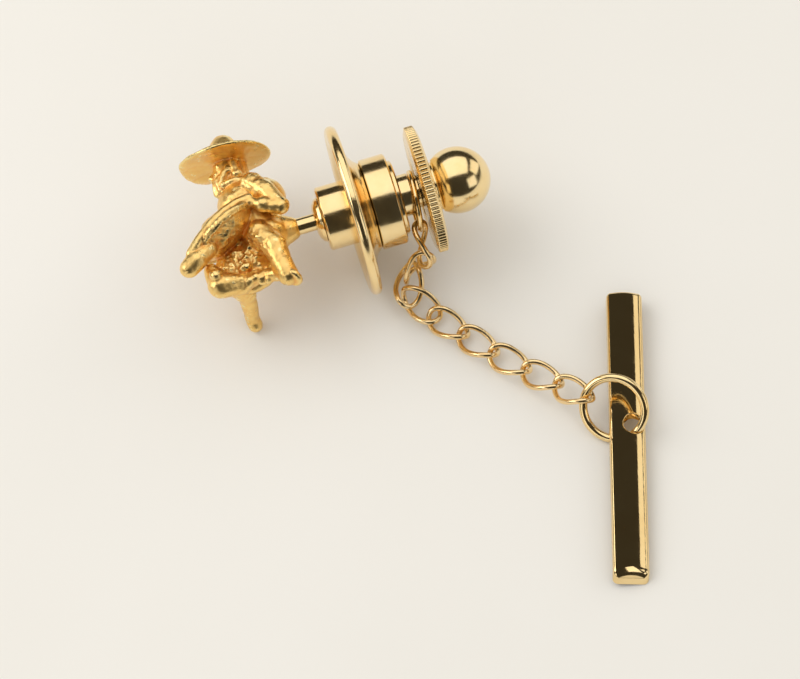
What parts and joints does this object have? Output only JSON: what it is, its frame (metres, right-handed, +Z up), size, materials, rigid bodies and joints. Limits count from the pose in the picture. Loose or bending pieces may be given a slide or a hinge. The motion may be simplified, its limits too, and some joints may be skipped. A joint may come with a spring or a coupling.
{
  "type": "tie tack",
  "caption": "Tie tack with a cast gold prospector on a post, a ball-lock pull clutch with a knurled disc and ball knob, and a curb chain ending in a toggle bar.",
  "frame": {"origin": "where the post's axis meets the face of the flange that presses on the cloth", "axes": "+X along the post from the figure towards the ball knob, +Z up from the surface that the tack lies on, and the figure's head towards +Y"},
  "size_m": [0.028, 0.0369, 0.0112],
  "materials": {
    "polished_gold": "polished yellow gold plate",
    "cast_gold": "rich yellow cast gold, rough in the hollows and rubbed bright on the high places",
    "bar_gold": "yellow gold plate polished to a mirror",
    "steel": "hardened steel, plain"
  },
  "bodies": {
    "clutch": {"flange_plate": "polished_gold", "nose_cup": "polished_gold", "clutch_barrel": "polished_gold", "barrel_cap": "polished_gold", "coil_spring": "steel"},
    "ferrule": {"guide_ferrule": "polished_gold"},
    "tack": {"post": "polished_gold", "prospector": "cast_gold"},
    "cage": {"ball_cage": "steel"},
    "ball_1": {"lock_ball_1": "steel"},
    "ball_2": {"lock_ball_2": "steel"},
    "ball_3": {"lock_ball_3": "steel"},
    "knob": {"pull_stem": "polished_gold", "knurled_disc": "polished_gold", "ball_knob": "polished_gold"},
    "stem_ring": {"stem_ring": "polished_gold"},
    "link_1": {"link_1": "polished_gold"},
    "link_2": {"link_2": "polished_gold"},
    "link_3": {"link_3": "polished_gold"},
    "link_4": {"link_4": "polished_gold"},
    "link_5": {"link_5": "polished_gold"},
    "link_6": {"link_6": "polished_gold"},
    "link_7": {"link_7": "polished_gold"},
    "link_8": {"link_8": "polished_gold"},
    "link_9": {"link_9": "polished_gold"},
    "bar_ring": {"bar_ring": "polished_gold"},
    "toggle_bar": {"toggle_bar": "bar_gold"}
  },
  "joints": [
    {"name": "post_turn", "type": "hinge", "parent": "clutch", "child": "ferrule", "pos_m": [-0.0022, 0, 0], "axis": [1, 0, 0], "continuous": true},
    {"name": "post_withdraw", "type": "slide", "parent": "ferrule", "child": "tack", "axis": [-1, 0, 0], "range_m": [0, 0.0095]},
    {"name": "plunger_pull", "type": "slide", "parent": "clutch", "child": "cage", "axis": [1, 0, 0], "range_m": [0, 0.0005], "stiffness_N_per_m": 400, "springref_m": -0.0004, "deforming": ["coil_spring"]},
    {"name": "ball_1_ride", "type": "slide", "parent": "clutch", "child": "ball_1", "axis": [0.9659, 0, 0.2588], "range_m": [0, 0.00053]},
    {"name": "ball_2_ride", "type": "slide", "parent": "clutch", "child": "ball_2", "axis": [0.9659, -0.2241, -0.1294], "range_m": [0, 0.00053]},
    {"name": "ball_3_ride", "type": "slide", "parent": "clutch", "child": "ball_3", "axis": [0.9659, 0.2241, -0.1294], "range_m": [0, 0.00053]},
    {"name": "knob_turn", "type": "hinge", "parent": "cage", "child": "knob", "pos_m": [0.004, 0, 0], "axis": [1, 0, 0], "continuous": true},
    {"name": "ring_swing", "type": "hinge", "parent": "cage", "child": "stem_ring", "pos_m": [0.00397, 0, 0], "axis": [1, 0, 0], "continuous": true},
    {"name": "link_1_swing", "type": "hinge", "parent": "stem_ring", "child": "link_1", "pos_m": [0.00381, -0.00183, -0.00154], "axis": [0.0883, 0.5828, -0.8078], "range_deg": [-2, 6]},
    {"name": "link_2_swing", "type": "hinge", "parent": "link_1", "child": "link_2", "pos_m": [0.00357, -0.00336, -0.00267], "axis": [-0.2377, 0.9561, 0.1713], "range_deg": [-6, 10]},
    {"name": "link_3_swing", "type": "hinge", "parent": "link_2", "child": "link_3", "pos_m": [0.00244, -0.00334, -0.00435], "axis": [-0.2122, -0.1361, 0.9677], "range_deg": [-3, 10]},
    {"name": "link_4_swing", "type": "hinge", "parent": "link_3", "child": "link_4", "pos_m": [0.00194, -0.00448, -0.00462], "axis": [-0.3054, -0.4098, 0.8595], "range_deg": [-20, 0]},
    {"name": "link_5_swing", "type": "hinge", "parent": "link_4", "child": "link_5", "pos_m": [0.0031, -0.00633, -0.00509], "axis": [0.0026, -0.0034, 1], "range_deg": [-20, 6]},
    {"name": "link_6_swing", "type": "hinge", "parent": "link_5", "child": "link_6", "pos_m": [0.0045, -0.0082, -0.0051], "axis": [0.8043, 0.5943, 0], "range_deg": [-20, 20]},
    {"name": "link_7_swing", "type": "hinge", "parent": "link_6", "child": "link_7", "pos_m": [0.006, -0.01023, -0.005], "axis": [-0.0308, 0.0361, 0.9989], "range_deg": [-20, 20]},
    {"name": "link_8_swing", "type": "hinge", "parent": "link_7", "child": "link_8", "pos_m": [0.00764, -0.01215, -0.00488], "axis": [0.7702, 0.6378, 0], "range_deg": [-20, 20]},
    {"name": "link_9_swing", "type": "hinge", "parent": "link_8", "child": "link_9", "pos_m": [0.00923, -0.01407, -0.00442], "axis": [-0.1596, 0.2103, 0.9645], "range_deg": [-20, 20]},
    {"name": "bar_ring_swing", "type": "hinge", "parent": "link_9", "child": "bar_ring", "pos_m": [0.01055, -0.0158, -0.00382], "axis": [0.4816, 0.522, 0.704], "range_deg": [-20, 20]},
    {"name": "bar_swing", "type": "hinge", "parent": "bar_ring", "child": "toggle_bar", "pos_m": [0.01327, -0.01868, -0.00452], "axis": [0.1422, -0.0721, 0.9872], "range_deg": [-30, 12]}
  ],
  "couplings": [
    {"joint": "ball_1_ride", "follows": "plunger_pull", "ratio": 1.0353},
    {"joint": "ball_2_ride", "follows": "plunger_pull", "ratio": 1.0353},
    {"joint": "ball_3_ride", "follows": "plunger_pull", "ratio": 1.0353}
  ]
}
